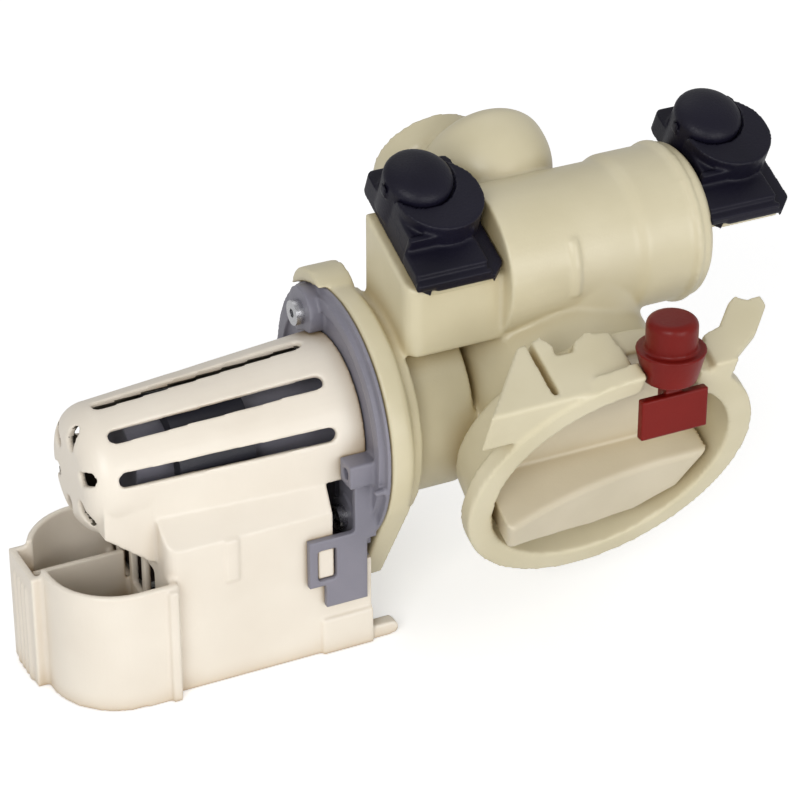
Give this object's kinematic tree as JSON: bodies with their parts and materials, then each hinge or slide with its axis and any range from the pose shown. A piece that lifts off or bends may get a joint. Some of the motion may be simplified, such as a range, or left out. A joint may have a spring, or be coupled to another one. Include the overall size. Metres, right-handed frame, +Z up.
{
  "type": "washer drain pump",
  "caption": "Front-load washer drain pump: motor casing with vents, grey flange, cream pump body with strainer cap, red lock, rubber feet, inlet and outlet spigots",
  "frame": {"origin": "centre of the flat bottom of the motor casing", "axes": "+X along the motor shaft from the vented dome to the pump body, +Y from the strainer cap to the hose spigots, +Z up, away from the casing's flat bottom"},
  "size_m": [0.2424, 0.1432, 0.1508],
  "materials": {
    "ivory_plastic": "satin moulded casing",
    "cream_plastic": "satin moulded pump body, yellower than the casing",
    "cap_plastic": "satin moulded cap",
    "grey_plastic": "grey violet filled plastic",
    "black_rubber": "moulded rubber, slightly shiny",
    "seal_rubber": "soft seal",
    "red_plastic": "dark red moulded plastic",
    "bright_steel": "plated screw steel",
    "core_steel": "stacked laminations, dull",
    "coil_wire": "brown tape over the enamelled wire",
    "white_plastic": "bobbin and impeller plastic",
    "magnet": "sintered ferrite",
    "tin_brass": "tinned brass blade"
  },
  "bodies": {
    "pump": {"motor_cover": "ivory_plastic", "motor_flange": "grey_plastic", "pump_body": "cream_plastic", "flange_screws": "bright_steel", "flange_gasket": "seal_rubber", "stator_core": "core_steel", "coil_bobbins": "white_plastic", "coil_windings": "coil_wire", "terminal_tabs": "tin_brass", "rear_bearing": "white_plastic", "front_bearing": "white_plastic", "rubber_foot_left": "black_rubber", "rubber_foot_right": "black_rubber"},
    "rotor": {"rotor_shaft": "bright_steel", "rotor_magnet": "magnet", "thrust_washer": "bright_steel", "impeller": "white_plastic"},
    "strainer": {"filter_basket": "cap_plastic"},
    "cap": {"filter_cap": "cap_plastic", "cap_gasket": "seal_rubber"},
    "lock": {"cap_lock": "red_plastic"}
  },
  "joints": [
    {"name": "rotor_spin", "type": "hinge", "parent": "pump", "child": "rotor", "pos_m": [0.033, 0, 0.066], "axis": [1, 0, 0], "continuous": true},
    {"name": "strainer_pull", "type": "slide", "parent": "pump", "child": "strainer", "axis": [0, -0.9135, -0.4067], "range_m": [0, 0.095]},
    {"name": "cap_turn", "type": "hinge", "parent": "strainer", "child": "cap", "pos_m": [0.0998, -0.055, 0.0557], "axis": [0, -0.9135, -0.4067], "range_deg": [0, 100]},
    {"name": "lock_pull", "type": "slide", "parent": "strainer", "child": "lock", "axis": [0, -0.9135, -0.4067], "range_m": [0, 0.03]}
  ]
}
